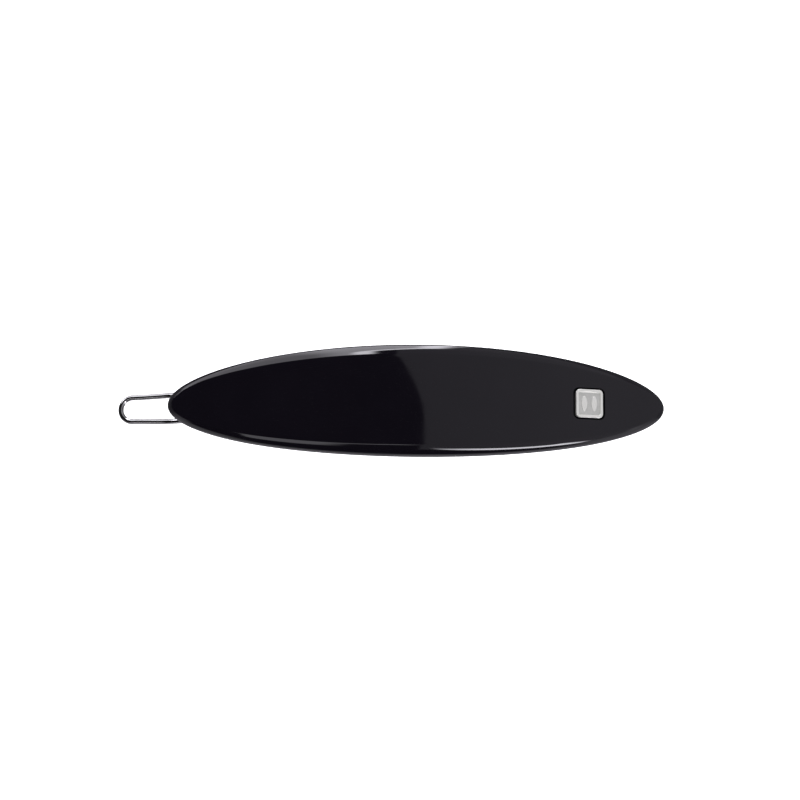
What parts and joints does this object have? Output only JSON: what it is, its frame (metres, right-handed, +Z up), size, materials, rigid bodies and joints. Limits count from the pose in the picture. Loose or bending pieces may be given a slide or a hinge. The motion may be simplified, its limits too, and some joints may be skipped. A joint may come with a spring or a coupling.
{
  "type": "barrette",
  "caption": "Long arched oval hair barrette in polished black acetate with a small square metal plaque, closed underneath by a hinged spring wire loop that snaps over a ball stud.",
  "frame": {"origin": "middle of the gap between the lens and the closed wire loop, which is where the hair is held", "axes": "+X along the length towards the hinge and plaque end, +Y across the width, +Z up out of the crown, with the closed barrette posed as it lies on the wire's end and on the tip beyond the hinge"},
  "size_m": [0.1101, 0.0224, 0.0171],
  "materials": {
    "acetate": "high polish",
    "plaque_metal": "satin silver plate",
    "nickel_plate": "nickel plated",
    "spring_wire": "drawn and polished"
  },
  "bodies": {
    "clip_body": {"acetate_body": "acetate", "plaque": "plaque_metal", "hinge_bracket": "nickel_plate", "hinge_rivet_inner": "nickel_plate", "hinge_rivet_outer": "nickel_plate", "stud_plate": "nickel_plate", "ball_stud": "nickel_plate", "stud_rivet_inner": "nickel_plate", "stud_rivet_outer": "nickel_plate"},
    "wire": {"wire_loop": "spring_wire"}
  },
  "joints": [
    {"name": "wire_hinge", "type": "hinge", "parent": "clip_body", "child": "wire", "pos_m": [0.03526, 0, -0.00613], "axis": [0, -1, 0], "range_deg": [0, 80]}
  ]
}
